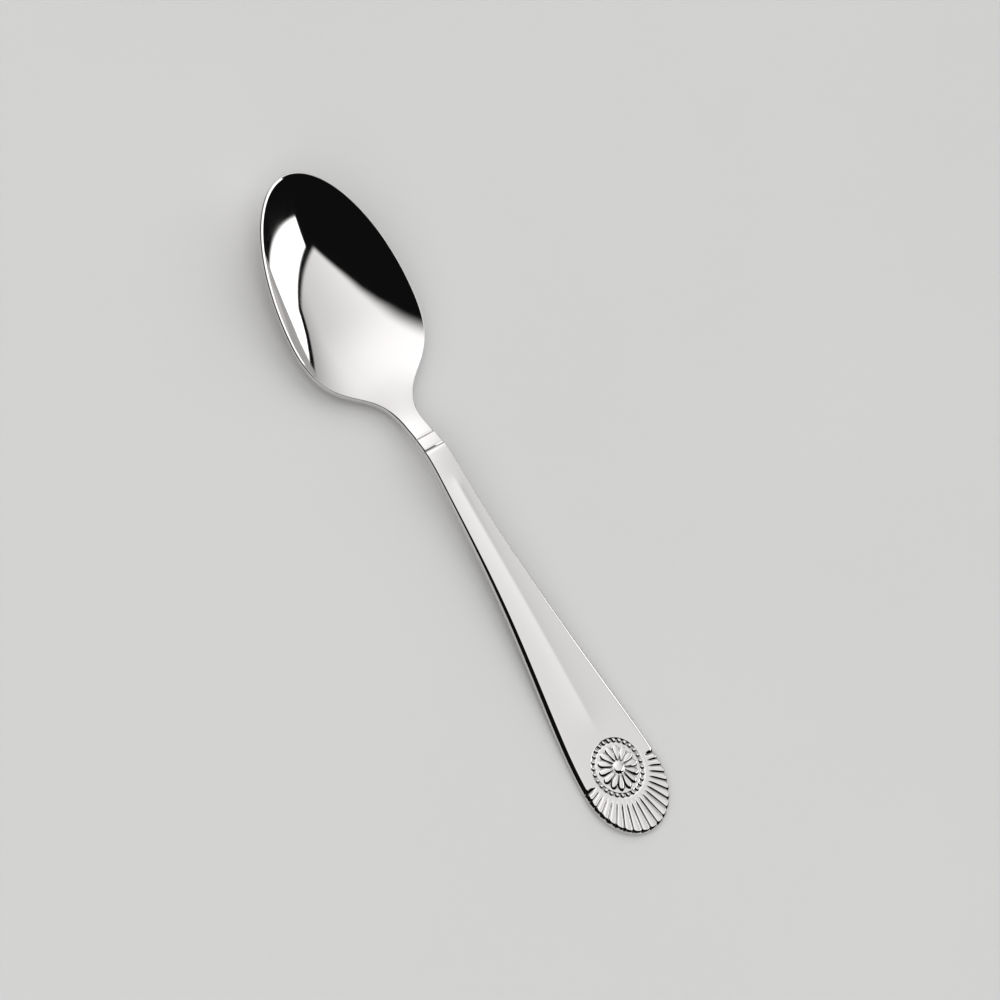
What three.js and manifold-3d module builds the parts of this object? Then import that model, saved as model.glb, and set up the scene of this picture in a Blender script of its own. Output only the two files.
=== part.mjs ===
// Soup spoon pressed and polished from one piece of stainless steel.
// Millimetres, +Z up. X runs from the handle's end to the tip of the bowl, Y across, and the
// spoon lies on Z = 0 with the bottom of its bowl and the end of its handle.
import * as THREE from 'three';
import { mergeVertices } from 'three/addons/utils/BufferGeometryUtils.js';
import Module from 'manifold-3d';

// Plan view
const spoonLength = 190;
const bowlWidth = 40.9;
const bowlFront = 38; // from the bowl's widest place to its tip
const hollowFront = 32; // from the bowl's deepest place to its tip
const shoulderLength = 32.4; // from the neck to the bowl's widest place
const shoulderFlare = 0.46; // share of the shoulder over which the outline leaves the neck's direction
const shoulderFullness = 0.71; // share of the shoulder over which it rounds into the widest place
const neckWidth = 7.1;
const handleEndWidth = 25.1;
const handleEndLength = 14.7; // from the handle's round end to its widest place
const taperHold = 0.19; // share of the taper over which the handle rounds out of its widest place
const taperEase = 0.53; // share of the taper over which it runs out into the neck

// Side view: heights of the middle of the edge above the table, and the stations that they are at
const middleSetback = 48.8; // from the collar back to the middle of the handle
const riseSetback = 8.7; // from the collar back to the end of the handle's slope
const shoulderDip = 2.3; // from the neck on to the lowest place of the shoulder
const endLift = 0.35; // how far the last of the handle turns up
const handleMiddleHeight = 3.9;
const handleRiseHeight = 6.7;
const collarHeight = 6.95;
const shoulderHeight = 4.6;
const bowlRimHeight = 6.9;
const bowlTipHeight = 14.05;

// Thickness at the edge, and of the metal along the middle
const handleEdge = 1.95;
const neckEdge = 1.4;
const shoulderEdge = 2.1;
const shoulderBody = 13; // from the neck on to where the shoulder's edge is thickest
const bowlEdge = 1.0;
const handleCore = 2.02; // below the ridge
const neckCore = 4.3;
const bowlCore = 1.4;

// Edge rounding, measured inwards from the outline
const handleEdgeRound = 0.7;
const neckEdgeRound = 0.5;
const shoulderEdgeRound = 0.28;
const bowlEdgeRound = 0.4;

// Ridge along the handle, with a rounded top and hollow sides
const ridgeHeight = 0.68;
const ridgeSpread = 3.3; // distance over which its sides fall away
const ridgeRound = 0.35; // rounding of its top
const ridgeSetback = 7.5; // from the collar back to where it has run out
const ridgeRun = 4.5; // length over which it runs out
const ridgeRise = 14; // length over which it rises beyond the flutes

// Rounded top of the neck
const crownHeight = 0.25;
const crownFade = 24; // from the collar on to where the top has flattened

// Collar: two cross steps that set the neck back from the handle
const collarSetback = 8.3; // from the neck back to the first step
const collarLength = 3.95;
const collarStep = 0.2;
const collarRamp = 0.35;
const collarFade = 15; // from the neck on to where the outline is full again

// Fan of flutes round the handle's end
const fanCentre = 18; // from the handle's end
const fanHalfAngle = THREE.MathUtils.degToRad(82);
const fluteCount = 19;
const fluteDepth = 0.4;
const fluteStart = 8.2; // distance from the fan's centre where the flutes begin
const fluteRun = 2.5; // length over which they reach their depth

// Worn flats that the spoon rests on
const restFlat = 0.1;

// Mesh fineness
const outlineSteps = 120;
const handleStations = 14;
const neckStations = 5;
const shoulderStations = 11;
const bowlSpokes = 18;
const fluteShares = [0, 0.22, 0.5, 0.78];
const topShares = [0, 0.07, 0.2, 0.35, 0.49, 0.62, 0.75, 0.88, 1];
const underShares = [1, 0.8, 0.6, 0.4, 0.2, 0];
const edgeAngles = [45, 0, -45].map(THREE.MathUtils.degToRad);
const leastArea = 1e-9;
const mergeDistance = 1e-5;

const { smoothstep, lerp } = THREE.MathUtils;
const bowlWidest = spoonLength - bowlFront;
const bowlDeepest = spoonLength - hollowFront;
const neck = bowlWidest - shoulderLength;
const collarStart = neck - collarSetback;
const collarEnd = collarStart + collarLength;
const handleMiddle = collarStart - middleSetback;
const handleRise = collarStart - riseSetback;
const shoulderBottom = neck + shoulderDip;
const shoulderThickest = neck + shoulderBody;
const ridgeStart = fanCentre + fluteStart;
const ridgeEnd = collarStart - ridgeSetback;
const taperLength = neck - handleEndLength;

// Natural cubic spline through [distance, value] knots
function spline(knots) {
  const last = knots.length - 1;
  const bend = new Array(last + 1).fill(0);
  const carry = new Array(last + 1).fill(0);
  for (let i = 1; i < last; i += 1) {
    const before = knots[i][0] - knots[i - 1][0];
    const after = knots[i + 1][0] - knots[i][0];
    const turn = (knots[i + 1][1] - knots[i][1]) / after - (knots[i][1] - knots[i - 1][1]) / before;
    const pivot = 2 * (before + after) - before * carry[i - 1];
    carry[i] = after / pivot;
    bend[i] = (6 * turn - before * bend[i - 1]) / pivot;
  }
  for (let i = last - 1; i > 0; i -= 1) {
    bend[i] -= carry[i] * bend[i + 1];
  }
  return (at) => {
    let i = 0;
    while (i < last - 1 && at > knots[i + 1][0]) {
      i += 1;
    }
    const span = knots[i + 1][0] - knots[i][0];
    const b = (at - knots[i][0]) / span;
    const a = 1 - b;
    const curve = (a ** 3 - a) * bend[i] + (b ** 3 - b) * bend[i + 1];
    return a * knots[i][1] + b * knots[i + 1][1] + (curve * span ** 2) / 6;
  };
}

// Value that eases from knot to knot and never passes them
function eased(knots) {
  return (at) => knots.slice(1).reduce(
    (value, knot, i) => value + (knot[1] - knots[i][1]) * smoothstep(at, knots[i][0], knot[0]),
    knots[0][1],
  );
}

// Half outline in plan, on the +Y side, from the handle's end to the bowl's tip
const halfOutline = new THREE.CurvePath();
halfOutline.add(new THREE.EllipseCurve(
  handleEndLength, 0, handleEndLength, handleEndWidth / 2, Math.PI, Math.PI / 2, true,
));
halfOutline.add(new THREE.CubicBezierCurve(
  new THREE.Vector2(handleEndLength, handleEndWidth / 2),
  new THREE.Vector2(handleEndLength + taperHold * taperLength, handleEndWidth / 2),
  new THREE.Vector2(neck - taperEase * taperLength, neckWidth / 2),
  new THREE.Vector2(neck, neckWidth / 2),
));
halfOutline.add(new THREE.CubicBezierCurve(
  new THREE.Vector2(neck, neckWidth / 2),
  new THREE.Vector2(neck + shoulderFlare * shoulderLength, neckWidth / 2),
  new THREE.Vector2(bowlWidest - shoulderFullness * shoulderLength, bowlWidth / 2),
  new THREE.Vector2(bowlWidest, bowlWidth / 2),
));
halfOutline.add(new THREE.EllipseCurve(
  bowlWidest, 0, bowlFront, bowlWidth / 2, Math.PI / 2, 0, true,
));
const outlinePoints = halfOutline.getPoints(outlineSteps);

function halfWidthAt(along) {
  const i = outlinePoints.findIndex((point) => point.x >= along);
  if (i <= 0) {
    return 0;
  }
  const before = outlinePoints[i - 1];
  const after = outlinePoints[i];
  return lerp(before.y, after.y, (along - before.x) / (after.x - before.x));
}

// Last value between two limits for which a test still holds, found by halving
function lastWhere(first, limit, holds) {
  let low = first;
  let high = limit;
  while (high - low > Number.EPSILON * limit) {
    const middle = (low + high) / 2;
    if (holds(middle)) {
      low = middle;
    } else {
      high = middle;
    }
  }
  return low;
}

// Last place on the half outline, and the way in from it, where a test of the points still holds
function rimWhere(holds) {
  const share = lastWhere(0, 1, (middle) => holds(halfOutline.getPoint(middle)));
  const tangent = halfOutline.getTangent(share);
  return { point: halfOutline.getPoint(share), inward: new THREE.Vector2(tangent.y, -tangent.x) };
}

// Profiles along the spoon
const edgeHeight = spline([
  [0, handleEdge / 2 - restFlat + endLift],
  [handleEndLength, handleEdge / 2 - restFlat],
  [handleMiddle, handleMiddleHeight],
  [handleRise, handleRiseHeight],
  [collarStart, collarHeight],
  [shoulderBottom, shoulderHeight],
  [bowlWidest, bowlRimHeight],
  [spoonLength, bowlTipHeight],
]);
const edgeThickness = eased([
  [handleMiddle, handleEdge], [collarStart, neckEdge], [neck, neckEdge],
  [shoulderThickest, shoulderEdge], [bowlWidest, bowlEdge],
]);
const coreThickness = eased([
  [0, handleEdge], [handleEndLength, handleCore], [handleMiddle, handleCore],
  [collarStart, neckCore], [neck, neckCore], [bowlWidest, bowlCore], [spoonLength, bowlEdge],
]);
const edgeRound = eased([
  [handleMiddle, handleEdgeRound], [collarStart, neckEdgeRound], [neck, neckEdgeRound],
  [shoulderThickest, shoulderEdgeRound], [bowlWidest, bowlEdgeRound],
]);
const collarCut = eased([
  [collarStart, 0], [collarStart + collarRamp, collarStep],
  [collarEnd, collarStep], [collarEnd + collarRamp, 2 * collarStep],
  [neck, 2 * collarStep], [neck + collarFade, 0],
]);

// Share of the way from the handle's ridge to the neck's rounded top
function ridgeGone(along) {
  return smoothstep(along, ridgeEnd - ridgeRun, ridgeEnd);
}

function ridgeAt(along) {
  return ridgeHeight * smoothstep(along, ridgeStart, ridgeStart + ridgeRise) * (1 - ridgeGone(along));
}

function crownAt(along) {
  const fade = 1 - smoothstep(along, collarStart, collarStart + crownFade);
  return crownHeight * ridgeGone(along) * fade;
}

// Share of the ridge's height, which is whole along the middle and gone at the rim
function ridgeShare(along, across) {
  const fall = (y) => Math.exp((ridgeRound - Math.hypot(y, ridgeRound)) / ridgeSpread);
  const limit = fall(halfWidthAt(along));
  return limit < 1 ? Math.max(0, fall(across) - limit) / (1 - limit) : 0;
}

// Share of the bowl's depth: a parabola towards the tip, whose slope and curvature carry on without
// a break into the run up to the neck.
function hollowShare(along) {
  const ahead = (along - bowlDeepest) / hollowFront;
  if (ahead >= 0) {
    return 1 - ahead ** 2;
  }
  const run = bowlDeepest - neck;
  const t = Math.max(0, (along - neck) / run);
  const frontCurvature = (run / hollowFront) ** 2;
  return t ** 3 * (10 - 15 * t + 6 * t ** 2 - frontCurvature * (1 - t) ** 2);
}

function spineUnderside(along, depth) {
  const top = edgeHeight(along) + edgeThickness(along) / 2 + crownAt(along);
  return top - depth * hollowShare(along) - coreThickness(along);
}

// Depth below the rim that brings the bowl's underside down to the table
function findBowlDepth() {
  const stations = outlinePoints.map((point) => point.x).filter((along) => along > neck);
  const clear = (depth) => stations.every((along) => spineUnderside(along, depth) > -restFlat);
  return lastWhere(0, bowlWidth / 2, clear);
}
const bowlDepth = findBowlDepth();

// Grooves between the flutes, which start at a point and deepen towards the rim
const flutePitch = (2 * fanHalfAngle) / fluteCount;
function fluteCut(along, across) {
  const angle = Math.abs(Math.atan2(across, fanCentre - along));
  const reach = Math.hypot(across, fanCentre - along);
  const depth = fluteDepth * smoothstep(reach, fluteStart, fluteStart + fluteRun);
  const offset = (angle + (fluteCount % 2) * flutePitch / 2) / flutePitch;
  const fromGroove = Math.abs(offset - Math.round(offset)) * 2;
  if (angle > fanHalfAngle) {
    return depth * (1 - smoothstep(angle, fanHalfAngle, fanHalfAngle + flutePitch / 2));
  }
  return depth * (1 - Math.sqrt(1 - (1 - fromGroove) ** 2));
}

function acrossShare(along, across) {
  const halfWidth = halfWidthAt(along);
  return halfWidth > 0 ? Math.min(1, Math.abs(across) / halfWidth) : 1;
}

function topHeight(along, across) {
  const bulge = 1 - acrossShare(along, across) ** 2;
  const rise = ridgeAt(along) * ridgeShare(along, across) + crownAt(along) * bulge;
  const hollow = bowlDepth * hollowShare(along) * bulge;
  const edge = edgeHeight(along) + edgeThickness(along) / 2;
  return edge + rise - hollow - collarCut(along) - fluteCut(along, across);
}

function underHeight(along, across) {
  const share = acrossShare(along, across);
  const edge = edgeHeight(along) - edgeThickness(along) / 2;
  const belly = spineUnderside(along, bowlDepth) - edge;
  return edge + belly * (1 - share ** 2) + collarCut(along);
}

// One line of points from a centre, over the top, round the edge and back below to the centre.
// side is +1 or -1 for the half of the spoon that the line is on.
function spoke(centre, rim, side) {
  const cut = collarCut(rim.point.x);
  const round = edgeRound(rim.point.x);
  const inner = rim.point.clone().addScaledVector(rim.inward, cut + round);
  const place = (share) => [lerp(centre, inner.x, share), inner.y * share];
  const solid = ([along, across], z) => new THREE.Vector3(along - spoonLength / 2, side * across, z);
  const top = topShares.map((share) => solid(place(share), topHeight(...place(share))));
  const under = underShares.map((share) => solid(place(share), underHeight(...place(share))));
  const upper = top.at(-1).z;
  const lower = under[0].z;
  const edge = edgeAngles.map((angle) => {
    const out = inner.clone().addScaledVector(rim.inward, -round * Math.cos(angle));
    return solid([out.x, out.y], lerp(lower, upper, (1 + Math.sin(angle)) / 2));
  });
  return [...top, ...edge, ...under];
}

function spread(from, to, count) {
  return Array.from({ length: count }, (_, i) => lerp(from, to, i / count));
}

// Spokes of the +Y half in order, from the middle of the handle's end to the middle of the bowl's tip
function halfSpokes() {
  const fanAngle = (point) => Math.atan2(point.y, fanCentre - point.x);
  const bowlAngle = (point) => Math.atan2(point.y, point.x - bowlWidest);
  const flutes = spread(-fanHalfAngle, fanHalfAngle, fluteCount);
  const fan = flutes.flatMap((angle) => fluteShares.map((share) => angle + share * flutePitch));
  const plain = [fanHalfAngle, fanHalfAngle + flutePitch / 2];
  const endAngles = [...fan.filter((angle) => angle > -mergeDistance), ...plain];
  const stations = [
    ...spread(fanCentre, collarStart, handleStations),
    collarStart, collarStart + collarRamp, (collarStart + collarEnd) / 2,
    collarEnd, collarEnd + collarRamp,
    ...spread(collarEnd + collarRamp, shoulderBottom, neckStations).slice(1),
    ...spread(shoulderBottom, bowlWidest, shoulderStations),
  ];
  const tipAngles = spread(Math.PI / 2, 0, bowlSpokes);
  return [
    ...endAngles.map((angle) => [fanCentre, rimWhere((point) => fanAngle(point) < angle)]),
    ...stations.map((along) => [along, rimWhere((point) => point.x < along)]),
    ...tipAngles.map((angle) => [bowlWidest, rimWhere((point) => bowlAngle(point) > angle)]),
    [bowlWidest, rimWhere(() => true)],
  ];
}

// Skin between neighbouring spokes, closed round the whole outline
function skin(spokes) {
  const positions = [];
  const face = (a, b, c) => {
    const area = new THREE.Triangle(a, b, c).getArea();
    if (area > leastArea) {
      positions.push(...a, ...b, ...c);
    }
  };
  spokes.forEach((near, k) => {
    const far = spokes[(k + 1) % spokes.length];
    for (let j = 0; j + 1 < near.length; j += 1) {
      face(near[j], far[j + 1], near[j + 1]);
      face(near[j], far[j], far[j + 1]);
    }
  });
  const geometry = new THREE.BufferGeometry();
  geometry.setAttribute('position', new THREE.Float32BufferAttribute(positions, 3));
  return geometry;
}

function bodyGeometry() {
  const half = halfSpokes();
  const left = half.map(([centre, rim]) => spoke(centre, rim, 1));
  const right = half.slice(1, -1).map(([centre, rim]) => spoke(centre, rim, -1));
  return skin([...left, ...right.reverse()]);
}

// Solids for the boolean cut
const wasm = await Module();
wasm.setup();

function toSolid(geometry) {
  geometry.deleteAttribute('normal');
  geometry.deleteAttribute('uv');
  const merged = mergeVertices(geometry, mergeDistance);
  return new wasm.Manifold(new wasm.Mesh({
    numProp: 3,
    vertProperties: merged.attributes.position.array,
    triVerts: new Uint32Array(merged.index.array),
  }));
}

function toGeometry(solid) {
  const { vertProperties, triVerts } = solid.getMesh();
  const geometry = new THREE.BufferGeometry();
  geometry.setAttribute('position', new THREE.BufferAttribute(vertProperties, 3));
  geometry.setIndex(new THREE.BufferAttribute(triVerts, 1));
  geometry.computeVertexNormals();
  return geometry;
}

// Everything below the table is ground off, which leaves a flat under the bowl and one under the handle.
const tableDepth = 10 * restFlat;
const table = new THREE.BoxGeometry(2 * spoonLength, 2 * bowlWidth, tableDepth);
table.translate(0, 0, -tableDepth / 2);

const steel = new THREE.MeshStandardMaterial({ color: 0xd8d6d4, roughness: 0.1, metalness: 1 });
const spoon = new THREE.Mesh(toGeometry(toSolid(bodyGeometry()).subtract(toSolid(table))), steel);
spoon.name = 'spoon';

const model = new THREE.Group();
model.add(spoon);

export default model;
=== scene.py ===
import math

import bmesh
import bpy
import numpy as np
from bpy.props import FloatProperty, FloatVectorProperty, IntProperty, PointerProperty
from mathutils import Matrix, Vector


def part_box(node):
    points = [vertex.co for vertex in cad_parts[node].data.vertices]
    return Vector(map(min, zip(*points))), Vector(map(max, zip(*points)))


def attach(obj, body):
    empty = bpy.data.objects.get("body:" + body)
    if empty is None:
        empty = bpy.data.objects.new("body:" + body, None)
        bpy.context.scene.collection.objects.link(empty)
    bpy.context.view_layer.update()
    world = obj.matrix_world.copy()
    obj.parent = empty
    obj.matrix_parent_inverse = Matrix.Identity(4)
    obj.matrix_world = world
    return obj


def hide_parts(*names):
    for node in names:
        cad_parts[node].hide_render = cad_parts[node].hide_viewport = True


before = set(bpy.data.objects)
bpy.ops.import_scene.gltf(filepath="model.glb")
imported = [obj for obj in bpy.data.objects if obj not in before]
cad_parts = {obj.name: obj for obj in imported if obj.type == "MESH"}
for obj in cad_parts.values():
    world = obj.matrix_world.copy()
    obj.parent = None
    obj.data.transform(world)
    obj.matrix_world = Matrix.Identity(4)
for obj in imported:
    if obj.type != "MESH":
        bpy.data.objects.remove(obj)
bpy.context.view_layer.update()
cad_low, cad_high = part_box("spoon")

bl_info = {
    "name": "Soup Spoon",
    "version": (1, 0, 0),
    "blender": (4, 5, 0),
    "location": "3D View > Sidebar > Spoon",
    "description": "Builds a mirror-polished soup spoon and the table and studio that it is seen in",
    "category": "Add Mesh",
}


def length(name, description, millimetres):
    """A length that a user can change, given in millimetres and kept in metres."""
    return FloatProperty(
        name=name, description=description, default=millimetres / 1000, unit="LENGTH", precision=5
    )


def angle(name, description, degrees):
    """An angle that a user can change, given in degrees and kept in radians."""
    return FloatProperty(
        name=name, description=description, default=math.radians(degrees), subtype="ANGLE"
    )


def share(name, description, default):
    """A share from 0 to 1 that a user can change."""
    return FloatProperty(
        name=name, description=description, default=default, min=0, max=1, subtype="FACTOR"
    )


def colour(name, description, default):
    """A linear colour that a user can change."""
    return FloatVectorProperty(
        name=name, description=description, default=default, min=0, max=1, size=3, subtype="COLOR"
    )


class SpoonSizes(bpy.types.PropertyGroup):
    """Sizes of the spoon. Distances along it are counted from the handle's end."""

    spoon_length: length("Length", "Handle's end to bowl's tip", 1000 * (cad_high.x - cad_low.x))
    bowl_width: length("Bowl width", "Across the widest place", 1000 * (cad_high.y - cad_low.y))
    bowl_front: length("Bowl front", "Widest place to tip", 38.0)
    hollow_front: length("Hollow front", "Deepest place to tip", 32)
    shoulder_length: length("Shoulder", "Neck to widest place", 32.4)
    shoulder_flare: share("Shoulder flare", "Share that leaves the neck's direction", 0.46)
    shoulder_fullness: share("Shoulder fullness", "Share that rounds into the widest place", 0.71)
    neck_width: length("Neck width", "Across the narrowest place", 7.1)
    handle_end_width: length("Handle end width", "Across the handle's widest place", 25.1)
    handle_end_length: length("Handle end", "Round end to the handle's widest place", 14.7)
    taper_hold: share("Taper hold", "Share that rounds out of the handle's widest place", 0.19)
    taper_ease: share("Taper ease", "Share that runs out into the neck", 0.53)
    middle_setback: length("Middle setback", "Collar back to the handle's middle", 48.8)
    rise_setback: length("Rise setback", "Collar back to the end of the handle's slope", 8.7)
    shoulder_dip: length("Shoulder dip", "Neck on to the lowest place of the shoulder", 2.3)
    end_lift: length("End lift", "How far the last of the handle turns up", 0.35)
    handle_middle_height: length("Middle height", "Edge's height at the handle's middle", 3.9)
    handle_rise_height: length("Rise height", "Edge's height at the end of the slope", 6.7)
    collar_height: length("Collar height", "Edge's height at the collar", 6.95)
    shoulder_height: length("Shoulder height", "Edge's height at the shoulder", 4.6)
    bowl_rim_height: length("Rim height", "Edge's height at the bowl's widest place", 6.9)
    bowl_tip_height: length("Tip height", "Edge's height at the bowl's tip", 14.05)
    handle_edge: length("Handle edge", "Thickness of the handle's edge", 1.95)
    neck_edge: length("Neck edge", "Thickness of the neck's edge", 1.4)
    shoulder_edge: length("Shoulder edge", "Thickness of the shoulder's edge", 2.1)
    shoulder_body: length("Shoulder body", "Neck on to where the shoulder's edge is thickest", 13)
    bowl_edge: length("Bowl edge", "Thickness of the bowl's rim", 1.0)
    handle_core: length("Handle core", "Thickness along the handle's middle below the ridge", 2.02)
    neck_core: length("Neck core", "Thickness along the neck's middle", 4.3)
    bowl_core: length("Bowl core", "Thickness along the bowl's middle", 1.4)
    handle_edge_round: length("Handle rounding", "Rounding of the handle's edge", 0.7)
    neck_edge_round: length("Neck rounding", "Rounding of the neck's edge", 0.5)
    shoulder_edge_round: length("Shoulder rounding", "Rounding of the shoulder's edge", 0.28)
    bowl_edge_round: length("Bowl rounding", "Rounding of the bowl's rim", 0.4)
    ridge_height: length("Ridge", "Height of the ridge along the handle", 0.68)
    ridge_spread: length("Ridge spread", "Distance over which the ridge's sides fall away", 3.3)
    ridge_reach: share("Ridge reach", "Least share of the half width that the spread takes", 0.42)
    ridge_round: length("Ridge rounding", "Rounding of the ridge's top", 0.35)
    ridge_setback: length("Ridge setback", "Collar back to where the ridge has run out", 7.5)
    ridge_run: length("Ridge run", "Length over which it runs out", 4.5)
    ridge_rise: length("Ridge rise", "Length over which it rises beyond the flutes", 11)
    crown_height: length("Crown", "Height of the neck's rounded top", 0.25)
    crown_fade: length("Crown fade", "Collar on to where the top has flattened", 24)
    bevel_width: length("Bevel", "Width of the bevel along the handle's edge", 0.5)
    bevel_slope: angle("Bevel slope", "Slope of the bevel", 21)
    bevel_blend: length("Bevel blend", "Rounding where the bevel begins", 0.12)
    rounding_start: angle("Rounding start", "Angle where the edge's rounding follows the bevel", 60)
    land_width: length("Land", "Width of the land inside the bowl's rim", 0.5)
    land_slope: angle("Land slope", "Slope of the land", 22)
    land_blend: length("Land blend", "Distance over which the land runs out into the bowl", 4)
    collar_setback: length("Collar setback", "Neck back to the first step", 8.3)
    collar_length: length("Collar", "First step to second step", 3.95)
    collar_step: length("Collar step", "Depth of each step", 0.2)
    collar_ramp: length("Collar ramp", "Length of each step's slope", 0.35)
    collar_groove: length("Collar groove", "Depth of the line along the first step", 0.16)
    collar_groove_width: length("Collar groove width", "Width of that line", 0.7)
    collar_fade: length("Collar fade", "Neck on to where the outline is full again", 15)
    fan_centre: length("Fan centre", "Handle's end to the point that the flutes start from", 18)
    fan_half_angle: angle("Fan half angle", "Middle of the fan to its last groove", 82)
    flute_count: IntProperty(name="Flutes", description="Flutes in the fan", default=19, min=2)
    flute_depth: length("Flute depth", "Depth of the grooves at the rim", 0.4)
    flute_start: length("Flute start", "Fan centre to where the grooves begin", 8.2)
    flute_run: length("Flute run", "Length over which they reach their depth", 2.5)
    flute_overhang: share("Flute overhang", "Share of the bevel that the flutes' tops reach over", 0.8)
    dome_radius: length("Dome radius", "Radius of the dome in the fan", 6)
    dome_height: length("Dome height", "Height of the dome", 0.4)
    boss_radius: length("Boss radius", "Radius of the boss on the dome", 1.7)
    boss_height: length("Boss height", "Height of the boss", 0.3)
    petal_count: IntProperty(name="Petals", description="Petals on the dome", default=14, min=3)
    petal_height: length("Petal height", "Height of the petals", 0.35)
    bead_count: IntProperty(name="Beads", description="Beads round the dome", default=28, min=3)
    bead_ring: length("Bead ring", "Radius of the ring of beads", 7.2)
    bead_radius: length("Bead radius", "Radius of a bead", 0.7)
    bead_height: length("Bead height", "Height of a bead above its rim", 0.45)
    bead_sink: length("Bead sink", "Depth of a bead's rim in the metal", 0.05)
    channel_width: length("Channel width", "Width of the channel that the beads lie in", 1.9)
    channel_depth: length("Channel depth", "Depth of that channel", 0.2)
    rest_flat: length("Rest flat", "Depth of the worn flats underneath", 0.1)


class SteelFinish(bpy.types.PropertyGroup):
    """Colour and polish of the steel, and the shade painted in its grooves."""

    steel: colour("Steel", "Colour of the polished steel", (0.665, 0.65, 0.64))
    # Painted shade: a darker colour painted deep in the grooves and in the gaps between the beads, where
    # shade falls
    painted_groove_shade: colour("Painted groove shade", "Colour of the steel deep in the grooves", (0.3, 0.29, 0.285))
    painted_shade_share: share("Painted shade share", "Share of that colour in the deepest grooves", 0.8)
    polish: share("Polish", "Roughness of a clean polished place", 0.035)
    haze: share("Haze", "Roughness that handling adds", 0.03)
    groove_dullness: share("Groove dullness", "Roughness that the buff leaves in the grooves", 0.12)
    scratch_depth: FloatProperty(
        name="Scratch depth",
        description="Depth of the hairline scratches",
        default=3e-7,
        unit="LENGTH",
        precision=8,
    )


class StudioSettings(bpy.types.PropertyGroup):
    """Table, light and camera."""

    table: colour("Table", "Colour of the table", (0.68, 0.676, 0.672))
    table_shade: share("Table shade", "Share of that colour left in the darkest patches", 0.96)
    table_size: length("Table size", "Side of the table", 24000)
    room: FloatProperty(name="Room", description="Brightness of the dark room", default=0.006)
    wall: FloatProperty(name="Wall", description="Brightness of the low pale walls", default=0.62)
    sill: FloatProperty(name="Sill", description="Brightness of the low wall behind", default=0.5)
    scrim: FloatProperty(name="Scrim", description="Brightness of the overhead scrim", default=0.84)
    side: FloatProperty(name="Side", description="Brightness of the side wall", default=0.45)
    fill: FloatProperty(name="Fill", description="Power of the front light", default=950, unit="POWER")
    fill_size: length("Fill size", "Side of the front light", 12500)
    fill_distance: length("Fill distance", "Spoon to the front light", 10000)
    fill_lean: angle("Fill lean", "Angle of the front light from straight overhead", 37)
    strip: FloatProperty(name="Strip", description="Brightness of the strip light", default=2.2)
    azimuth: angle("Azimuth", "Camera's bearing round the spoon, from -Y", 185.17)
    elevation: angle("Elevation", "Camera's height above the table", 56.19)
    roll: angle("Roll", "Turn of the picture", 54.05)
    distance: length("Distance", "Camera to the point that it looks at", 773.3)
    aim_x: length("Aim along", "Point that the camera looks at, along the spoon", -2.92)
    aim_y: length("Aim across", "Point that the camera looks at, across the spoon", -13.47)
    lens: FloatProperty(name="Lens", description="Focal length", default=108, unit="CAMERA")


# Curves


def ease(at, low, high):
    """Smooth step from 0 at low to 1 at high."""
    t = np.clip((np.asarray(at, float) - low) / (high - low), 0, 1)
    return t * t * (3 - 2 * t)


def eased(knots):
    """Value that eases from knot to knot and never passes them."""

    def value(at):
        steps = [(b[1] - a[1]) * ease(at, a[0], b[0]) for a, b in zip(knots, knots[1:])]
        return knots[0][1] + sum(steps)

    return value


def spline(knots):
    """Natural cubic spline through (distance, value) knots."""
    x, y = np.array(knots, float).T
    gap = np.diff(x)
    slope = np.diff(y) / gap
    rows = np.diag(2 * (gap[:-1] + gap[1:])) + np.diag(gap[1:-1], 1) + np.diag(gap[1:-1], -1)
    bend = np.zeros(len(x))
    bend[1:-1] = np.linalg.solve(rows, 6 * np.diff(slope))

    def value(at):
        at = np.asarray(at, float)
        i = np.clip(np.searchsorted(x, at) - 1, 0, len(gap) - 1)
        b = (at - x[i]) / gap[i]
        a = 1 - b
        curve = (a**3 - a) * bend[i] + (b**3 - b) * bend[i + 1]
        return a * y[i] + b * y[i + 1] + curve * gap[i] ** 2 / 6

    return value


def quarter_ellipse(centre, reach, width, start, end, count):
    """Points on an ellipse about a point on the middle line, between two angles."""
    turn = np.linspace(start, end, count)
    return np.stack([centre + reach * np.cos(turn), width * np.sin(turn)], axis=1)


def bezier(start, start_handle, end_handle, end, count):
    """Points on a cubic Bezier curve."""
    t = np.linspace(0, 1, count)[:, None]
    parts = zip(((1 - t) ** 3, 3 * (1 - t) ** 2 * t, 3 * (1 - t) * t**2, t**3),
                (start, start_handle, end_handle, end))
    return sum(weight * np.array(point) for weight, point in parts)


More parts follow.
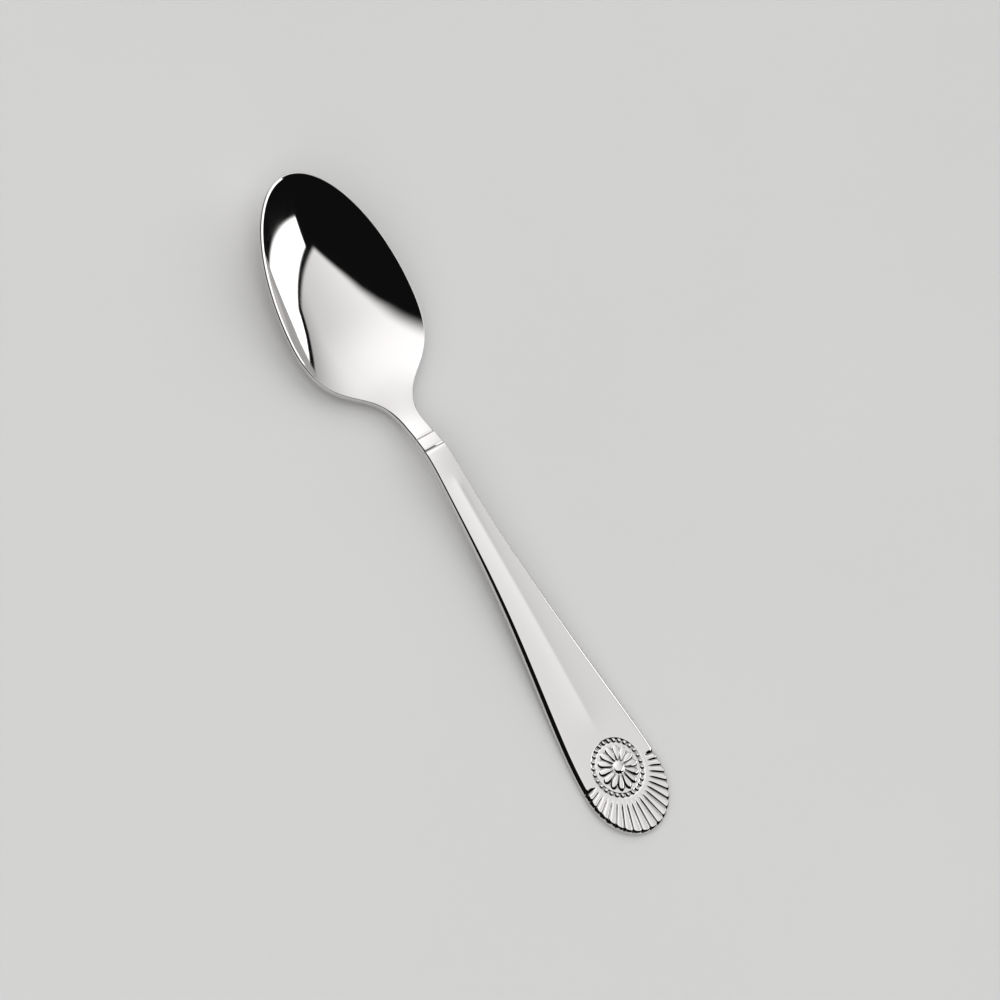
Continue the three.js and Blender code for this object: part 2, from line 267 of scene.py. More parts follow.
class SpoonForm:
    """Surface of the spoon, worked out from its sizes."""

    outline_fineness = 4000
    tiny = 1e-9
    # Share of the fan's length from which the flutes' reach over the bevel fades
    overhang_fade = 0.7
    # Shares of the boss's and the dome's radius between which the gaps of the petals are full
    gap_from = 1.2
    gap_to = 0.85

    def __init__(self, sizes):
        self.sizes = s = sizes
        self.bowl_widest = s.spoon_length - s.bowl_front
        self.bowl_deepest = s.spoon_length - s.hollow_front
        self.neck = self.bowl_widest - s.shoulder_length
        self.collar_start = self.neck - s.collar_setback
        self.collar_end = self.collar_start + s.collar_length
        self.collar_foot = self.collar_start + s.collar_ramp
        self.handle_middle = self.collar_start - s.middle_setback
        self.handle_rise = self.collar_start - s.rise_setback
        self.shoulder_bottom = self.neck + s.shoulder_dip
        self.shoulder_thickest = self.neck + s.shoulder_body
        self.ridge_start = s.fan_centre + s.flute_start
        self.ridge_end = self.collar_start - s.ridge_setback
        self.flute_pitch = 2 * s.fan_half_angle / s.flute_count
        self.outline, self.inward = self.half_outline()
        self.make_profiles()
        self.bowl_depth = self.find_bowl_depth()

    def half_outline(self):
        """Outline on the +Y side from the handle's end to the bowl's tip, and the way in from it."""
        s = self.sizes
        count = self.outline_fineness
        end_half, neck_half, bowl_half = s.handle_end_width / 2, s.neck_width / 2, s.bowl_width / 2
        taper = self.neck - s.handle_end_length
        stretches = [
            quarter_ellipse(s.handle_end_length, s.handle_end_length, end_half,
                            math.pi, math.pi / 2, count),
            bezier((s.handle_end_length, end_half),
                   (s.handle_end_length + s.taper_hold * taper, end_half),
                   (self.neck - s.taper_ease * taper, neck_half), (self.neck, neck_half), count),
            bezier((self.neck, neck_half),
                   (self.neck + s.shoulder_flare * s.shoulder_length, neck_half),
                   (self.bowl_widest - s.shoulder_fullness * s.shoulder_length, bowl_half),
                   (self.bowl_widest, bowl_half), count),
            quarter_ellipse(self.bowl_widest, s.bowl_front, bowl_half, math.pi / 2, 0, count),
        ]
        points = np.concatenate([stretches[0]] + [stretch[1:] for stretch in stretches[1:]])
        along = np.gradient(points, axis=0)
        along /= np.linalg.norm(along, axis=1, keepdims=True)
        return points, np.stack([along[:, 1], -along[:, 0]], axis=1)

    def make_profiles(self):
        """Heights and thicknesses along the spoon."""
        s = self.sizes
        end_height = s.handle_edge / 2 - s.rest_flat
        self.edge_height = spline([
            (0, end_height + s.end_lift),
            (s.handle_end_length, end_height),
            (self.handle_middle, s.handle_middle_height),
            (self.handle_rise, s.handle_rise_height),
            (self.collar_start, s.collar_height),
            (self.shoulder_bottom, s.shoulder_height),
            (self.bowl_widest, s.bowl_rim_height),
            (s.spoon_length, s.bowl_tip_height),
        ])
        self.edge_thickness = eased([
            (self.handle_middle, s.handle_edge), (self.collar_start, s.neck_edge),
            (self.neck, s.neck_edge), (self.shoulder_thickest, s.shoulder_edge),
            (self.bowl_widest, s.bowl_edge),
        ])
        self.core_thickness = eased([
            (0, s.handle_edge), (s.handle_end_length, s.handle_core),
            (self.handle_middle, s.handle_core), (self.collar_start, s.neck_core),
            (self.neck, s.neck_core), (self.bowl_widest, s.bowl_core),
            (s.spoon_length, s.bowl_edge),
        ])
        self.edge_round = eased([
            (self.handle_middle, s.handle_edge_round), (self.collar_start, s.neck_edge_round),
            (self.neck, s.neck_edge_round), (self.shoulder_thickest, s.shoulder_edge_round),
            (self.bowl_widest, s.bowl_edge_round),
        ])
        self.collar_cut = eased([
            (self.collar_start, 0), (self.collar_foot, s.collar_step),
            (self.collar_end, s.collar_step), (self.collar_end + s.collar_ramp, 2 * s.collar_step),
            (self.neck, 2 * s.collar_step), (self.neck + s.collar_fade, 0),
        ])

    def half_width(self, along):
        return np.interp(along, self.outline[:, 0], self.outline[:, 1])

    def ridge_gone(self, along):
        """Share of the way from the handle's ridge to the neck's rounded top."""
        return ease(along, self.ridge_end - self.sizes.ridge_run, self.ridge_end)

    def ridge(self, along):
        s = self.sizes
        start = ease(along, self.ridge_start, self.ridge_start + s.ridge_rise)
        return s.ridge_height * start * (1 - self.ridge_gone(along))

    def crown(self, along):
        s = self.sizes
        fade = 1 - ease(along, self.collar_start, self.collar_start + s.crown_fade)
        return s.crown_height * self.ridge_gone(along) * fade

    def hollow(self, along):
        """Share of the bowl's depth: a parabola towards the tip that carries on up to the neck."""
        s = self.sizes
        ahead = (along - self.bowl_deepest) / s.hollow_front
        run = self.bowl_deepest - self.neck
        t = np.maximum(0, (along - self.neck) / run)
        bend = (run / s.hollow_front) ** 2
        behind = t**3 * (10 - 15 * t + 6 * t**2 - bend * (1 - t) ** 2)
        return np.where(ahead >= 0, 1 - ahead**2, behind)

    def spine_underside(self, along, depth):
        top = self.edge_height(along) + self.edge_thickness(along) / 2 + self.crown(along)
        return top - depth * self.hollow(along) - self.core_thickness(along)

    def find_bowl_depth(self):
        """Depth below the rim that brings the bowl's underside down to the table."""
        along = self.outline[self.outline[:, 0] > self.neck, 0]
        shallow, deep = 0, self.sizes.bowl_width / 2
        while deep - shallow > self.tiny:
            depth = (shallow + deep) / 2
            if self.spine_underside(along, depth).min() > -self.sizes.rest_flat:
                shallow = depth
            else:
                deep = depth
        return deep

    def across_share(self, along, across):
        return np.minimum(1, np.abs(across) / np.maximum(self.half_width(along), self.tiny))

    def flute_cut(self, along, across):
        """Depth of the grooves between the flutes."""
        s = self.sizes
        turn = np.abs(np.arctan2(across, s.fan_centre - along))
        reach = np.hypot(across, s.fan_centre - along)
        depth = s.flute_depth * ease(reach, s.flute_start, s.flute_start + s.flute_run)
        offset = turn / self.flute_pitch + (s.flute_count % 2) / 2
        from_groove = 2 * np.abs(offset - np.round(offset))
        lobe = 1 - np.sqrt(1 - (1 - from_groove) ** 2)
        border = 1 - ease(turn, s.fan_half_angle, s.fan_half_angle + self.flute_pitch / 2)
        return depth * np.where(turn > s.fan_half_angle, border, lobe)

    def ridge_share(self, along, across):
        """Share of the ridge's height, with a rounded top and hollow sides that end at the rim."""
        s = self.sizes
        half = self.half_width(along)
        spread = np.maximum(s.ridge_spread, s.ridge_reach * half)
        reach, limit = (
            np.exp((s.ridge_round - np.hypot(y, s.ridge_round)) / spread) for y in (across, half)
        )
        return np.maximum(0, reach - limit) / np.maximum(1 - limit, self.tiny)

    def channel_share(self, along, across):
        """Share of the depth of the ring-shaped channel in the fan."""
        s = self.sizes
        reach = np.hypot(across, s.fan_centre - along)
        return np.maximum(0, 1 - ((reach - s.bead_ring) / (s.channel_width / 2)) ** 2) ** 2

    def petals(self, along, across):
        """Share of the petals' height: a ring of oval bumps between the boss and the dome's foot."""
        s = self.sizes
        reach = np.hypot(across, s.fan_centre - along)
        middle, half = (s.dome_radius + s.boss_radius) / 2, (s.dome_radius - s.boss_radius) / 2
        turn = np.arctan2(across, s.fan_centre - along) * s.petal_count / (2 * math.pi)
        off = 2 * (turn - np.round(turn))
        return np.sqrt(np.maximum(0, 1 - ((reach - middle) / half) ** 2 - off**2))

    def petal_gap(self, along, across):
        """Share of the depth between the petals."""
        s = self.sizes
        reach = np.hypot(across, s.fan_centre - along)
        inner = ease(reach, s.boss_radius, self.gap_from * s.boss_radius)
        outer = 1 - ease(reach, self.gap_to * s.dome_radius, s.dome_radius)
        return inner * outer * (1 - self.petals(along, across))

    def rosette(self, along, across):
        """Height of the dome in the fan, with its petals and the boss in its middle."""
        s = self.sizes
        reach = np.hypot(across, s.fan_centre - along)
        dome = s.dome_height * np.maximum(0, 1 - (reach / s.dome_radius) ** 2) ** 2
        boss = s.boss_height * np.maximum(0, 1 - (reach / s.boss_radius) ** 2)
        return dome + boss + s.petal_height * self.petals(along, across)

    def collar_line(self, along):
        """Share of the depth of the lines along the feet of the steps. The second is half as deep."""
        s = self.sizes
        first, second = (
            np.maximum(0, 1 - np.abs(along - foot) / (s.collar_groove_width / 2))
            for foot in (self.collar_foot, self.collar_end + s.collar_ramp)
        )
        return first + second / 2

    def bevel_share(self, along):
        """Share of the bevel along the handle's edge, which narrows away towards the neck."""
        return 1 - ease(along, self.ridge_start, self.ridge_end)

    def bevel(self, along, inside, groove):
        """How far the bevel has fallen, at a distance inside the edge: less on the flutes' tops."""
        s = self.sizes
        fan = 1 - ease(along, self.overhang_fade * s.fan_centre, s.fan_centre)
        left = self.bevel_share(along)
        past = s.bevel_width * left * (1 - s.flute_overhang * fan * (1 - groove)) - inside
        return math.tan(s.bevel_slope) * (past + np.hypot(past, s.bevel_blend * left)) / 2

    def land(self, along, inside, slope):
        """How far the land inside the bowl's rim lies above the hollow, whose slope there is given."""
        s = self.sizes
        gentler = np.maximum(0, slope - math.tan(s.land_slope))
        fade = np.exp(-np.maximum(0, inside - s.land_width) / s.land_blend)
        start = ease(along, self.shoulder_bottom, self.shoulder_thickest)
        return start * gentler * np.minimum(inside, s.land_width) * fade

    def top_height(self, along, across):
        bulge = 1 - self.across_share(along, across) ** 2
        edge = self.edge_height(along) + self.edge_thickness(along) / 2
        rise = self.ridge(along) * self.ridge_share(along, across) + self.crown(along) * bulge
        hollow = self.bowl_depth * self.hollow(along) * bulge
        channel = self.sizes.channel_depth * self.channel_share(along, across)
        line = self.sizes.collar_groove * self.collar_line(along)
        cuts = self.collar_cut(along) + line + self.flute_cut(along, across) + channel
        return edge + rise + self.rosette(along, across) - hollow - cuts

    def under_height(self, along, across):
        out = self.across_share(along, across)
        edge = self.edge_height(along) - self.edge_thickness(along) / 2
        belly = self.spine_underside(along, self.bowl_depth) - edge
        return edge + belly * (1 - out**2) + self.collar_cut(along)


# Mesh of the spoon


# Width of the strip along the rim where points lie closer, and the gap that is closed at seams
RIM_ZONE = 0.0008
SEAM_GAP = 1e-6
# Counts of points along a spoke, of spokes along each stretch, and of points round a bead
TOP_POINTS = 70
RIM_POINTS = 10
EDGE_POINTS = 9
UNDER_POINTS = 14
FLUTE_POINTS = 12
FAN_STATIONS = 70
HANDLE_STATIONS = 80
COLLAR_STATIONS = 7
NECK_STATIONS = 20
SHOULDER_STATIONS = 50
TIP_STATIONS = 80
BEAD_RINGS = 6
BEAD_SIDES = 16


def half_spokes(form):
    """Centres, rim points and ways in of the spokes that cover the +Y half, in order."""
    s = form.sizes
    x, y = form.outline.T
    fan_turn = np.arctan2(y, s.fan_centre - x)
    tip_turn = np.arctan2(y, x - form.bowl_widest)
    fan_end = s.fan_half_angle + form.flute_pitch / 2
    fan_steps = round(fan_end / form.flute_pitch * FLUTE_POINTS)
    line, second = form.collar_foot, form.collar_end
    line_start, line_end = line - s.collar_groove_width / 2, line + s.collar_groove_width / 2
    stations = np.concatenate([
        np.linspace(s.fan_centre, form.ridge_start, FAN_STATIONS, endpoint=False),
        np.linspace(form.ridge_start, line_start, HANDLE_STATIONS, endpoint=False),
        np.linspace(line_start, line, COLLAR_STATIONS, endpoint=False),
        np.linspace(line, line_end, COLLAR_STATIONS, endpoint=False),
        np.linspace(line_end, second, COLLAR_STATIONS, endpoint=False),
        np.linspace(second, second + s.collar_ramp, COLLAR_STATIONS, endpoint=False),
        np.linspace(second + s.collar_ramp, form.shoulder_bottom, NECK_STATIONS, endpoint=False),
        np.linspace(form.shoulder_bottom, form.bowl_widest, SHOULDER_STATIONS, endpoint=False),
    ])
    index = np.arange(len(x))
    handle_side = x < s.fan_centre
    bowl_side = x >= form.bowl_widest
    places = np.concatenate([
        np.interp(np.linspace(0, fan_end, fan_steps, endpoint=False),
                  fan_turn[handle_side], index[handle_side]),
        np.interp(stations, x, index),
        np.interp(np.linspace(math.pi / 2, 0, TIP_STATIONS + 1)[::-1],
                  tip_turn[bowl_side][::-1], index[bowl_side][::-1])[::-1],
    ])
    centres = np.concatenate([
        np.full(fan_steps, s.fan_centre), stations, np.full(TIP_STATIONS + 1, form.bowl_widest),
    ])
    rim = np.stack([np.interp(places, index, axis) for axis in form.outline.T], axis=1)
    inward = np.stack([np.interp(places, index, axis) for axis in form.inward.T], axis=1)
    return centres, rim, inward


def spoke_points(form):
    """Points of each spoke over the top, round the edge and back below, and how deep in a groove."""
    centres, rim, inward = half_spokes(form)
    rounding = form.edge_round(rim[:, 0])[:, None]
    inner = rim + inward * (form.collar_cut(rim[:, 0])[:, None] + rounding)
    spoke = inner - np.stack([centres, np.zeros(len(centres))], axis=1)
    reach = np.linalg.norm(spoke, axis=1)[:, None]
    zone = RIM_ZONE / reach
    out = np.concatenate([
        np.linspace(0, 1, TOP_POINTS, endpoint=False) * (1 - zone),
        1 - zone * np.linspace(1, 0, RIM_POINTS),
    ], axis=1)
    back = np.linspace(1, 0, UNDER_POINTS)[None, :]
    top_x, under_x = (centres[:, None] + spoke[:, [0]] * t for t in (out, back))
    top_y, under_y = (spoke[:, [1]] * t for t in (out, back))
    top_z = form.top_height(top_x, top_y)
    width = form.sizes.land_width
    next_in = inner + inward * width
    slope = (top_z[:, [-1]] - form.top_height(next_in[:, [0]], next_in[:, [1]])) / width
    inside = (top_x - inner[:, [0]]) * inward[:, [0]] + (top_y - inner[:, [1]]) * inward[:, [1]]
    along = rim[:, [0]]
    flutes = form.flute_cut(top_x, top_y) / form.sizes.flute_depth
    top_z += form.land(along, inside, slope) - form.bevel(along, inside, flutes)
    under_z = form.under_height(under_x, under_y)
    first = math.pi / 2 - (math.pi / 2 - form.sizes.rounding_start) * form.bevel_share(along)
    turn = first + (-math.pi / 2 - first) * np.linspace(0, 1, EDGE_POINTS + 2)[1:-1]
    upper = (np.cos(turn) - np.cos(first)) / (1 - np.cos(first))
    outward = rounding * np.where(turn > 0, upper, np.cos(turn))
    lift = (1 + np.sin(turn)) / (1 + np.sin(first))
    edge_x, edge_y = (inner[:, [k]] - inward[:, [k]] * outward for k in (0, 1))
    edge_z = under_z[:, [0]] + (top_z[:, [-1]] - under_z[:, [0]]) * lift
    x = np.concatenate([top_x, edge_x, under_x], axis=1) - form.sizes.spoon_length / 2
    y = np.concatenate([top_y, edge_y, under_y], axis=1)
    z = np.maximum(0, np.concatenate([top_z, edge_z, under_z], axis=1))
    groove = np.zeros_like(x)
    groove[:, :out.shape[1]] = np.maximum.reduce([
        flutes, form.channel_share(top_x, top_y), form.petal_gap(top_x, top_y), form.collar_line(top_x),
    ])
    return np.stack([x, y, z], axis=2), groove


def bead_points(form):
    """Grid of points round each bead, from its top out to its sunken rim and in again below."""
    s = form.sizes
    turn = np.arange(s.bead_count)[:, None, None] * (2 * math.pi / s.bead_count)
    share_out = np.append(np.linspace(0, 1, BEAD_RINGS), 0)[None, :, None]
    rise = s.bead_height * (1 - share_out**2) - s.bead_sink
    rise[:, -1] = -2 * s.bead_sink
    swing = np.linspace(0, 2 * math.pi, BEAD_SIDES + 1)[None, None, :]
    along = s.fan_centre - s.bead_ring * np.cos(turn) + s.bead_radius * share_out * np.cos(swing)
    across = s.bead_ring * np.sin(turn) + s.bead_radius * share_out * np.sin(swing)
    height = form.top_height(along, across) + rise
    return np.stack([along - s.spoon_length / 2, across, height], axis=3)


def grid_faces(rows, columns, start):
    """Corners of the faces between neighbouring points of a grid whose points are counted from start."""
    index = start + np.arange(rows * columns).reshape(rows, columns)
    corners = (index[:-1, :-1], index[1:, :-1], index[1:, 1:], index[:-1, 1:])
    return np.stack([corner.ravel() for corner in corners], axis=1)


def spoon_mesh(form):
    """Closed mesh of both halves and the beads, with the depth in the grooves as a point attribute."""
    points, groove = spoke_points(form)
    points = np.concatenate([points, points[-2::-1] * (1, -1, 1)])
    groove = np.concatenate([groove, groove[-2::-1]])
    beads = bead_points(form)
    faces = [grid_faces(*points.shape[:2], 0)]
    for k, bead in enumerate(beads):
        start = groove.size + k * bead.shape[0] * bead.shape[1]
        faces.append(grid_faces(*bead.shape[:2], start))
    places = np.concatenate([points.reshape(-1, 3), beads.reshape(-1, 3)])
    depths = np.concatenate([groove.ravel(), np.zeros(len(places) - groove.size)])
    mesh = bpy.data.meshes.new("polished_spoon")
    mesh.from_pydata(places.tolist(), [], np.concatenate(faces).tolist())
    mesh.attributes.new("groove", "FLOAT", "POINT").data.foreach_set("value", depths)
    seams = bmesh.new()
    seams.from_mesh(mesh)
    bmesh.ops.remove_doubles(seams, verts=seams.verts, dist=SEAM_GAP)
    bmesh.ops.recalc_face_normals(seams, faces=seams.faces)
    seams.to_mesh(mesh)
    seams.free()
    mesh.shade_smooth()
    return mesh


# Shader maths


class Value:
    """One socket of a shader tree, with arithmetic that adds Math nodes."""

    def __init__(self, tree, socket):
        self.tree = tree
        self.socket = socket

    def math(self, operation, *inputs):
        values = dict(enumerate(inputs))
        return self.tree.add("ShaderNodeMath", {"operation": operation}, values, "Value")

    def __add__(self, other):
        return self.math("ADD", self, other)

    def __radd__(self, other):
        return self.math("ADD", other, self)

    def __sub__(self, other):
        return self.math("SUBTRACT", self, other)

    def __rsub__(self, other):
        return self.math("SUBTRACT", other, self)

    def __mul__(self, other):
        return self.math("MULTIPLY", self, other)

    def __rmul__(self, other):
        return self.math("MULTIPLY", other, self)

    def __truediv__(self, other):
        return self.math("DIVIDE", self, other)

    def __rtruediv__(self, other):
        return self.math("DIVIDE", other, self)

    def __pow__(self, other):
        return self.math("POWER", self, other)

    def at_least(self, other):
        return self.math("MAXIMUM", self, other)

    def ease(self, low, high):
        """Smooth step from 0 at low to 1 at high."""
        settings = {"interpolation_type": "SMOOTHSTEP"}
        values = {"Value": self, "From Min": low, "From Max": high}
        return self.tree.add("ShaderNodeMapRange", settings, values, "Result")

    def along(self, direction):
        """Length of this vector along a direction."""
        values = {0: self, 1: direction}
        return self.tree.add("ShaderNodeVectorMath", {"operation": "DOT_PRODUCT"}, values, "Value")


class ShaderTree:
    """A node tree that is filled by expressions."""

    def __init__(self, tree):
        self.tree = tree
        tree.nodes.clear()

    def add(self, kind, settings=None, inputs=None, output=None):
        """Adds a node, with its settings first and then its sockets, and gives one of its outputs."""
        node = self.tree.nodes.new(kind)
        for name, setting in (settings or {}).items():
            setattr(node, name, setting)
        for name, value in (inputs or {}).items():
            if isinstance(value, Value):
                self.tree.links.new(value.socket, node.inputs[name])
            else:
                node.inputs[name].default_value = value
        return Value(self, node.outputs[output]) if output else None

    def noise(self, place, scale, detail):
        values = {"Vector": place, "Scale": scale, "Detail": detail}
        return self.add("ShaderNodeTexNoise", None, values, "Fac")

    def stretched(self, place, scale):
        return self.add("ShaderNodeMapping", None, {"Vector": place, "Scale": scale}, "Vector")

    def mixed(self, first, second, factor):
        """Colour between two colours. The node repeats its sockets' names, so numbers pick them."""
        values = {6: first, 7: second, 0: factor}
        return self.add("ShaderNodeMix", {"data_type": "RGBA"}, values, 2)


# Depths in a groove where the painted shade begins and where it is full
GROOVE_SHADE = (0.25, 0.95)
# Closeness of the handling smears along, across and up, and the range of noise that they show in
SMEAR_STRETCH = (1, 1.6, 1)
SMEAR_RANGE = (0.35, 0.75)
# Closeness of the hairlines along, across and up
HAIRLINE_STRETCH = (90, 2600, 2600)


def polished_steel(finish):
    """Mirror-polished stainless steel with handling haze, hairlines, dull grooves and shade painted deep
    in the grooves.
    """
    material = bpy.data.materials.new("polished_steel")
    material.use_nodes = True
    tree = ShaderTree(material.node_tree)
    place = tree.add("ShaderNodeTexCoord", None, None, "Object")
    groove = tree.add("ShaderNodeAttribute", {"attribute_name": "groove"}, None, "Fac")
    deep = groove.ease(*GROOVE_SHADE)
    smear_place = tree.stretched(place, SMEAR_STRETCH)
    smears = tree.noise(smear_place, scale=70, detail=3).ease(*SMEAR_RANGE)
    hairlines = tree.noise(tree.stretched(place, HAIRLINE_STRETCH), scale=1, detail=2)
    # Painted shade: the colour darkens deep in the grooves, where shade falls
    painted_shade_amount = deep * finish.painted_shade_share
    colour_here = tree.mixed((*finish.steel, 1), (*finish.painted_groove_shade, 1), painted_shade_amount)
    roughness = finish.polish + finish.haze * smears + finish.groove_dullness * deep
    bump_values = {"Strength": 1.0, "Distance": finish.scratch_depth, "Height": hairlines}
    normal = tree.add("ShaderNodeBump", None, bump_values, "Normal")
    values = {
        "Base Color": colour_here, "Metallic": 1.0, "Roughness": roughness, "Normal": normal,
    }
    shader = tree.add("ShaderNodeBsdfPrincipled", None, values, "BSDF")
    tree.add("ShaderNodeOutputMaterial", None, {"Surface": shader})
    return material


def table_paint(studio):
    """Matt pale paint with a faint unevenness."""
    material = bpy.data.materials.new("pale_table")
    material.use_nodes = True
    tree = ShaderTree(material.node_tree)
    place = tree.add("ShaderNodeTexCoord", None, None, "Object")
    patches = tree.noise(place, scale=9, detail=4)
    darker = [studio.table_shade * part for part in studio.table]
    colour_here = tree.mixed((*studio.table, 1), (*darker, 1), patches)
    values = {"Base Color": colour_here, "Roughness": 0.9, "Specular IOR Level": 0.1}
    shader = tree.add("ShaderNodeBsdfPrincipled", None, values, "BSDF")
    tree.add("ShaderNodeOutputMaterial", None, {"Surface": shader})
    return material


# Straight edges of the light shapes: the normal, towards the lit side, of a plane through the spoon,
# and the edge's softness. Left is -X, right is +X and front is +Y.
SCRIM_LEFT = ((1, 0.095, 0.572), 0.014)
SCRIM_LOW = ((0.288, 0.331, 0.889), 0.014)
SCRIM_RIGHT = ((-1, 0, 2.2), 0.1)
STRIP_LEFT = ((1, -0.14, 0.632), 0.01)
STRIP_LOW = ((-0.657, 0.14, 0.741), 0.004)
STRIP_RIGHT = ((-1, -0.087, -0.629), 0.005)
STRIP_FRONT = ((0.262, -0.815, -0.518), 0.005)
FOOT_TOP = ((-0.357, -0.266, -0.895), 0.005)
SILL_TOP = ((0.657, -0.14, -0.741), 0.004)
SILL_FRONT = ((0, -1, -0.5), 0.05)
# The scrim's front edge, which curves back to the left of a place and is softer to the right
SCRIM_FRONT = 0.04
SCRIM_CURVE = 4
SCRIM_CURVE_START = 0.1
SCRIM_SOFTNESS = 0.06
SCRIM_SOFTER = (-0.4, 0)
# How the scrim brightens to the front and to both sides, and where it dims low down and far right
SCRIM_TO_FRONT = 0.6
SCRIM_TO_RIGHT = 0.5
SCRIM_TO_SIDES = 1.2
SCRIM_DIM_LOW = (0.2, 0.6)
SCRIM_DIM_RIGHT = (0.5, 0.7)
# Soft edges of the low walls and of the side wall
WALL_TOP = (0.17, 0.2)
WALL_BACK = (-0.85, -0.6)
SIDE_RIGHT = (-0.6, -0.4)
SIDE_BACK = (0.3, 0.55)
SIDE_TOP = (0.4, 0.8)


def studio_world(studio):
    """Dark room with a scrim overhead and behind, a leaning strip light with a foot, and low walls."""
    world = bpy.data.worlds.new("studio")
    world.use_nodes = True
    tree = ShaderTree(world.node_tree)
    look = tree.add("ShaderNodeTexCoord", None, None, "Generated")

    def inside(edges):
        """Mask of the directions inside straight edges, each a plane's normal and its softness."""
        mask = 1
        for normal, softness in edges:
            unit = Vector(normal).normalized()
            mask = look.along(unit).ease(-softness, softness) * mask
        return mask

    right, front, height = (look.along(axis) for axis in ((1, 0, 0), (0, 1, 0), (0, 0, 1)))
    front_limit = SCRIM_FRONT - SCRIM_CURVE * (SCRIM_CURVE_START - right).at_least(0) ** 3
    front_softness = SCRIM_SOFTNESS + SCRIM_SOFTNESS * right.ease(*SCRIM_SOFTER)
    front_shape = ((front_limit - front) / front_softness).ease(-1, 1)
    scrim_shape = front_shape * inside([SCRIM_LEFT, SCRIM_LOW, SCRIM_RIGHT])
    strip_shape = inside([STRIP_LEFT, STRIP_LOW, STRIP_RIGHT, STRIP_FRONT])
    foot_shape = inside([STRIP_LEFT, STRIP_LOW, FOOT_TOP])
    sill_shape = inside([SILL_TOP, SILL_FRONT])
    near = 1 + front
    low_dimming = 0.5 + 0.5 * height.ease(*SCRIM_DIM_LOW)
    right_dimming = 1 - 0.5 * right.ease(*SCRIM_DIM_RIGHT)
    glow = studio.scrim * (low_dimming * right_dimming) * (
        1 + SCRIM_TO_FRONT * near + SCRIM_TO_RIGHT * right + SCRIM_TO_SIDES * right * right
    )
    wall_shape = (1 - height.ease(*WALL_TOP)) * front.ease(*WALL_BACK)
    side_end = (1 - right.ease(*SIDE_RIGHT)) * front.ease(*SIDE_BACK)
    side_shape = side_end * (1 - height.ease(*SIDE_TOP))
    walls = (studio.wall * wall_shape).at_least(studio.side * side_shape)
    backdrop = (glow * scrim_shape).at_least(studio.sill * sill_shape)
    light = backdrop + studio.strip * strip_shape.at_least(foot_shape) + walls + studio.room
    values = {"Color": (1, 1, 1, 1), "Strength": light}
    shader = tree.add("ShaderNodeBackground", None, values, "Background")
    tree.add("ShaderNodeOutputWorld", None, {"Surface": shader})
    return world


# Objects of the scene


def add_object(context, name, data):
    """Puts a new object into the scene."""
    thing = bpy.data.objects.new(name, data)
    context.scene.collection.objects.link(thing)
    return thing


def lay_table(context, studio):
    """Broad flat table top that the spoon rests on."""
    half = studio.table_size / 2
    mesh = bpy.data.meshes.new("table")
    corners = [(-half, -half, 0), (half, -half, 0), (half, half, 0), (-half, half, 0)]
    mesh.from_pydata(corners, [], [(0, 1, 2, 3)])
    mesh.materials.append(table_paint(studio))
    return add_object(context, "table", mesh)


def hang_fill(context, studio):
    """Broad light that leans to the front and that the steel doesn't mirror."""
    fill_data = bpy.data.lights.new("fill", "AREA")
    fill_data.energy = studio.fill
    fill_data.size = studio.fill_size
    fill = add_object(context, "fill", fill_data)
    lean = Matrix.Rotation(-studio.fill_lean, 4, "X")
    fill.matrix_world = lean @ Matrix.Translation((0, 0, studio.fill_distance))
    fill.visible_glossy = False


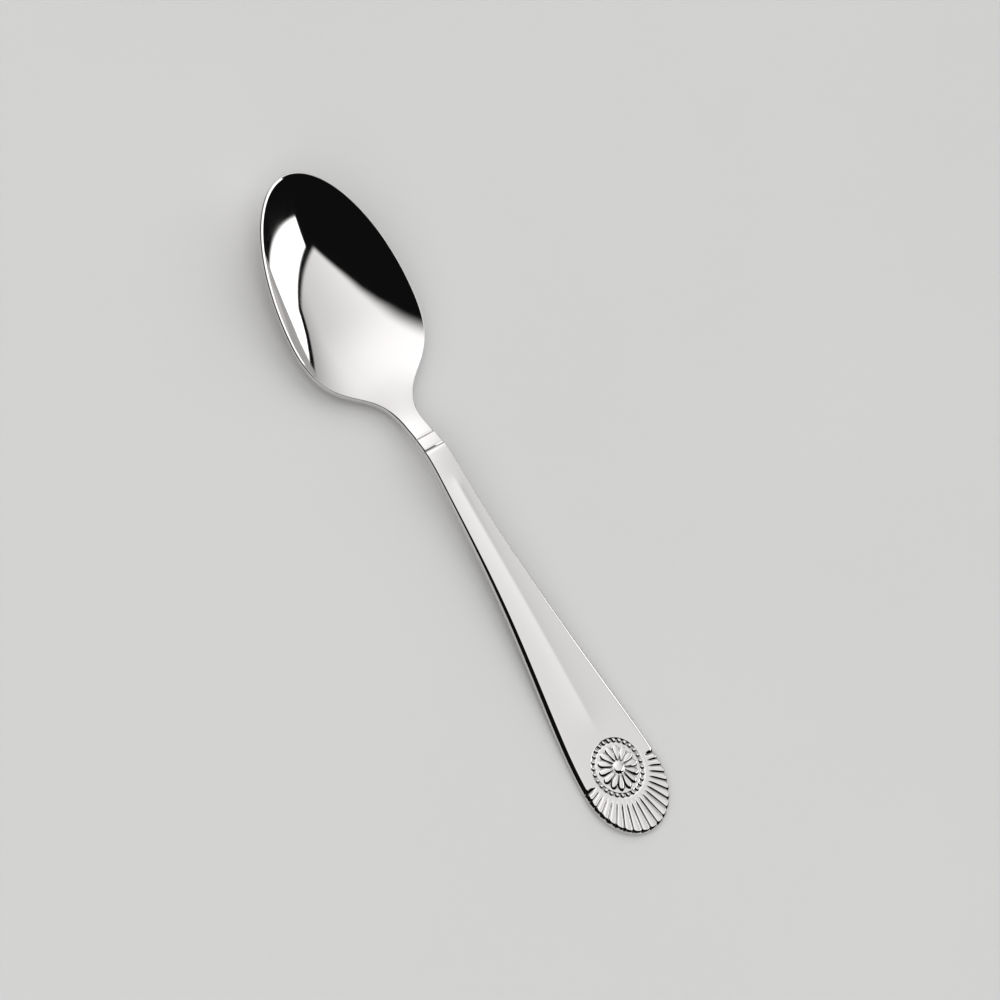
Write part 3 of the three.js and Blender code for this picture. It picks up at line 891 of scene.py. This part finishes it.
def aim_camera(context, studio):
    """Camera at its bearing, height and distance from the point that it looks at."""
    camera_data = bpy.data.cameras.new("camera")
    camera_data.lens = studio.lens
    camera = add_object(context, "camera", camera_data)
    flat = math.cos(studio.elevation)
    back = Vector((
        math.sin(studio.azimuth) * flat,
        -math.cos(studio.azimuth) * flat,
        math.sin(studio.elevation),
    ))
    upright = back.to_track_quat("Z", "Y").to_matrix()
    turn = Matrix.Rotation(studio.roll, 3, back) @ upright
    aim = Vector((studio.aim_x, studio.aim_y, 0))
    camera.matrix_world = Matrix.Translation(aim + back * studio.distance) @ turn.to_4x4()
    context.scene.camera = camera


# Operators


class SPOON_OT_body(bpy.types.Operator):
    """Build the polished spoon in place of the plain solid"""

    bl_idname = "spoon.body"
    bl_label = "Polished spoon"

    def execute(self, context):
        mesh = spoon_mesh(SpoonForm(context.scene.spoon_sizes))
        spoon = add_object(context, "polished_spoon", mesh)
        mesh.materials.append(polished_steel(context.scene.steel_finish))
        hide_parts("spoon")
        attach(spoon, "root")
        return {"FINISHED"}


class SPOON_OT_stage(bpy.types.Operator):
    """Set the table, the light and the camera"""

    bl_idname = "spoon.stage"
    bl_label = "Table, light and camera"

    def execute(self, context):
        studio = context.scene.studio_settings
        table = lay_table(context, studio)
        context.scene.world = studio_world(studio)
        hang_fill(context, studio)
        context.scene.view_settings.view_transform = "Standard"
        aim_camera(context, studio)
        return {"FINISHED"}


class SPOON_PT_panel(bpy.types.Panel):
    """Lists what can be built"""

    bl_idname = "SPOON_PT_panel"
    bl_label = "Soup spoon"
    bl_space_type = "VIEW_3D"
    bl_region_type = "UI"
    bl_category = "Spoon"

    def draw(self, context):
        for operator in OPERATORS:
            self.layout.operator(operator.bl_idname)
        for group in (context.scene.spoon_sizes, context.scene.steel_finish,
                      context.scene.studio_settings):
            for name in group.__annotations__:
                self.layout.prop(group, name)


OPERATORS = (SPOON_OT_body, SPOON_OT_stage)
CLASSES = (SpoonSizes, SteelFinish, StudioSettings, *OPERATORS, SPOON_PT_panel)


def register():
    for cls in CLASSES:
        bpy.utils.register_class(cls)
    bpy.types.Scene.spoon_sizes = PointerProperty(type=SpoonSizes)
    bpy.types.Scene.steel_finish = PointerProperty(type=SteelFinish)
    bpy.types.Scene.studio_settings = PointerProperty(type=StudioSettings)


def unregister():
    del bpy.types.Scene.studio_settings
    del bpy.types.Scene.steel_finish
    del bpy.types.Scene.spoon_sizes
    for cls in reversed(CLASSES):
        bpy.utils.unregister_class(cls)


def main():
    register()
    bpy.ops.spoon.body()
    bpy.ops.spoon.stage()


if __name__ == "__main__":
    main()
